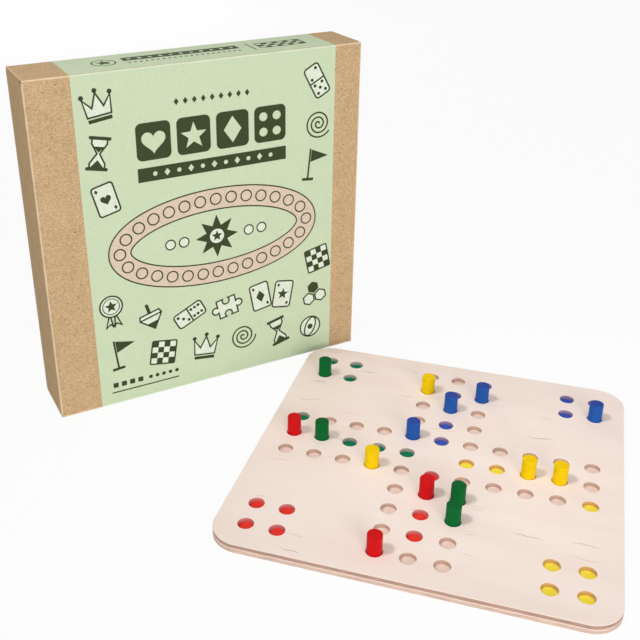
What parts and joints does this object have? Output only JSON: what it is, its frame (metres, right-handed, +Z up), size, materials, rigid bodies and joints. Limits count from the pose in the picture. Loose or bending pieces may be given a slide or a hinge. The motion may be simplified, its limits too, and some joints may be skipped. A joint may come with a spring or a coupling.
{
  "type": "boxed ludo game",
  "caption": "Folding kraft carton with a tuck-in top, and the flat plywood ludo board with coloured pegs that it holds.",
  "frame": {"origin": "middle of the standing carton's underside, on the table", "axes": "+Z up, +X along the carton's wide front, the front faces -Y"},
  "size_m": [0.4632, 0.4702, 0.31],
  "materials": {
    "kraft_card": "matte kraft liner, printed in pale green on the front and the top",
    "birch_top": "sanded bare birch plywood",
    "birch_base": "sanded bare birch plywood",
    "die_wood": "bare beech with dark pips",
    "green_peg_paint": "satin paint on wood",
    "green_floor_paint": "matte paint film on wood",
    "blue_peg_paint": "satin paint on wood",
    "blue_floor_paint": "matte paint film on wood",
    "yellow_peg_paint": "satin paint on wood",
    "yellow_floor_paint": "matte paint film on wood",
    "red_peg_paint": "satin paint on wood",
    "red_floor_paint": "matte paint film on wood"
  },
  "bodies": {
    "carton": {"front_wall": "kraft_card", "back_wall": "kraft_card", "left_wall": "kraft_card", "right_wall": "kraft_card", "glue_flap": "kraft_card", "bottom_outer_panel": "kraft_card", "bottom_inner_panel": "kraft_card", "bottom_left_dust_flap": "kraft_card", "bottom_right_dust_flap": "kraft_card"},
    "closing_panel": {"closing_panel": "kraft_card"},
    "tuck_flap": {"tuck_flap": "kraft_card"},
    "left_dust_flap": {"top_left_dust_flap": "kraft_card"},
    "right_dust_flap": {"top_right_dust_flap": "kraft_card"},
    "board": {"board_base_sheet": "birch_base", "board_top_sheet": "birch_top", "green_floors": "green_floor_paint", "blue_floors": "blue_floor_paint", "yellow_floors": "yellow_floor_paint", "red_floors": "red_floor_paint"},
    "die": {"die": "die_wood"},
    "green_peg_1": {"green_peg_1": "green_peg_paint"},
    "green_peg_2": {"green_peg_2": "green_peg_paint"},
    "green_peg_3": {"green_peg_3": "green_peg_paint"},
    "green_peg_4": {"green_peg_4": "green_peg_paint"},
    "blue_peg_1": {"blue_peg_1": "blue_peg_paint"},
    "blue_peg_2": {"blue_peg_2": "blue_peg_paint"},
    "blue_peg_3": {"blue_peg_3": "blue_peg_paint"},
    "blue_peg_4": {"blue_peg_4": "blue_peg_paint"},
    "yellow_peg_1": {"yellow_peg_1": "yellow_peg_paint"},
    "yellow_peg_2": {"yellow_peg_2": "yellow_peg_paint"},
    "yellow_peg_3": {"yellow_peg_3": "yellow_peg_paint"},
    "yellow_peg_4": {"yellow_peg_4": "yellow_peg_paint"},
    "red_peg_1": {"red_peg_1": "red_peg_paint"},
    "red_peg_2": {"red_peg_2": "red_peg_paint"},
    "red_peg_3": {"red_peg_3": "red_peg_paint"},
    "red_peg_4": {"red_peg_4": "red_peg_paint"}
  },
  "joints": [
    {"name": "top_hinge", "type": "hinge", "parent": "carton", "child": "closing_panel", "pos_m": [0, 0.027, 0.31], "axis": [-1, 0, 0], "range_deg": [0, 175]},
    {"name": "tuck_fold", "type": "hinge", "parent": "closing_panel", "child": "tuck_flap", "pos_m": [0, -0.025, 0.31], "axis": [-1, 0, 0], "range_deg": [0, 35]},
    {"name": "left_dust_fold", "type": "hinge", "parent": "carton", "child": "left_dust_flap", "pos_m": [-0.153, 0, 0.3082], "axis": [0, -1, 0], "range_deg": [0, 87.5]},
    {"name": "right_dust_fold", "type": "hinge", "parent": "carton", "child": "right_dust_flap", "pos_m": [0.153, 0, 0.3082], "axis": [0, 1, 0], "range_deg": [0, 87.5]},
    {"name": "board_lift", "type": "slide", "parent": "carton", "child": "board", "axis": [0, 0, 1], "range_m": [0, 0.15]},
    {"name": "die_lift", "type": "slide", "parent": "carton", "child": "die", "axis": [0, 0, 1], "range_m": [0, 0.25]},
    {"name": "green_peg_1_lift", "type": "slide", "parent": "board", "child": "green_peg_1", "axis": [0, 0, 1], "range_m": [0, 0.03]},
    {"name": "green_peg_2_lift", "type": "slide", "parent": "board", "child": "green_peg_2", "axis": [0, 0, 1], "range_m": [0, 0.03]},
    {"name": "green_peg_3_lift", "type": "slide", "parent": "board", "child": "green_peg_3", "axis": [0, 0, 1], "range_m": [0, 0.03]},
    {"name": "green_peg_4_lift", "type": "slide", "parent": "board", "child": "green_peg_4", "axis": [0, 0, 1], "range_m": [0, 0.03]},
    {"name": "blue_peg_1_lift", "type": "slide", "parent": "board", "child": "blue_peg_1", "axis": [0, 0, 1], "range_m": [0, 0.03]},
    {"name": "blue_peg_2_lift", "type": "slide", "parent": "board", "child": "blue_peg_2", "axis": [0, 0, 1], "range_m": [0, 0.03]},
    {"name": "blue_peg_3_lift", "type": "slide", "parent": "board", "child": "blue_peg_3", "axis": [0, 0, 1], "range_m": [0, 0.03]},
    {"name": "blue_peg_4_lift", "type": "slide", "parent": "board", "child": "blue_peg_4", "axis": [0, 0, 1], "range_m": [0, 0.03]},
    {"name": "yellow_peg_1_lift", "type": "slide", "parent": "board", "child": "yellow_peg_1", "axis": [0, 0, 1], "range_m": [0, 0.03]},
    {"name": "yellow_peg_2_lift", "type": "slide", "parent": "board", "child": "yellow_peg_2", "axis": [0, 0, 1], "range_m": [0, 0.03]},
    {"name": "yellow_peg_3_lift", "type": "slide", "parent": "board", "child": "yellow_peg_3", "axis": [0, 0, 1], "range_m": [0, 0.03]},
    {"name": "yellow_peg_4_lift", "type": "slide", "parent": "board", "child": "yellow_peg_4", "axis": [0, 0, 1], "range_m": [0, 0.03]},
    {"name": "red_peg_1_lift", "type": "slide", "parent": "board", "child": "red_peg_1", "axis": [0, 0, 1], "range_m": [0, 0.03]},
    {"name": "red_peg_2_lift", "type": "slide", "parent": "board", "child": "red_peg_2", "axis": [0, 0, 1], "range_m": [0, 0.03]},
    {"name": "red_peg_3_lift", "type": "slide", "parent": "board", "child": "red_peg_3", "axis": [0, 0, 1], "range_m": [0, 0.03]},
    {"name": "red_peg_4_lift", "type": "slide", "parent": "carton", "child": "red_peg_4", "axis": [0, 0, 1], "range_m": [0, 0.25]}
  ],
  "couplings": [
    {"joint": "tuck_fold", "follows": "top_hinge", "ratio": 0.2},
    {"joint": "left_dust_fold", "follows": "top_hinge", "ratio": 0.5},
    {"joint": "right_dust_fold", "follows": "top_hinge", "ratio": 0.5}
  ]
}
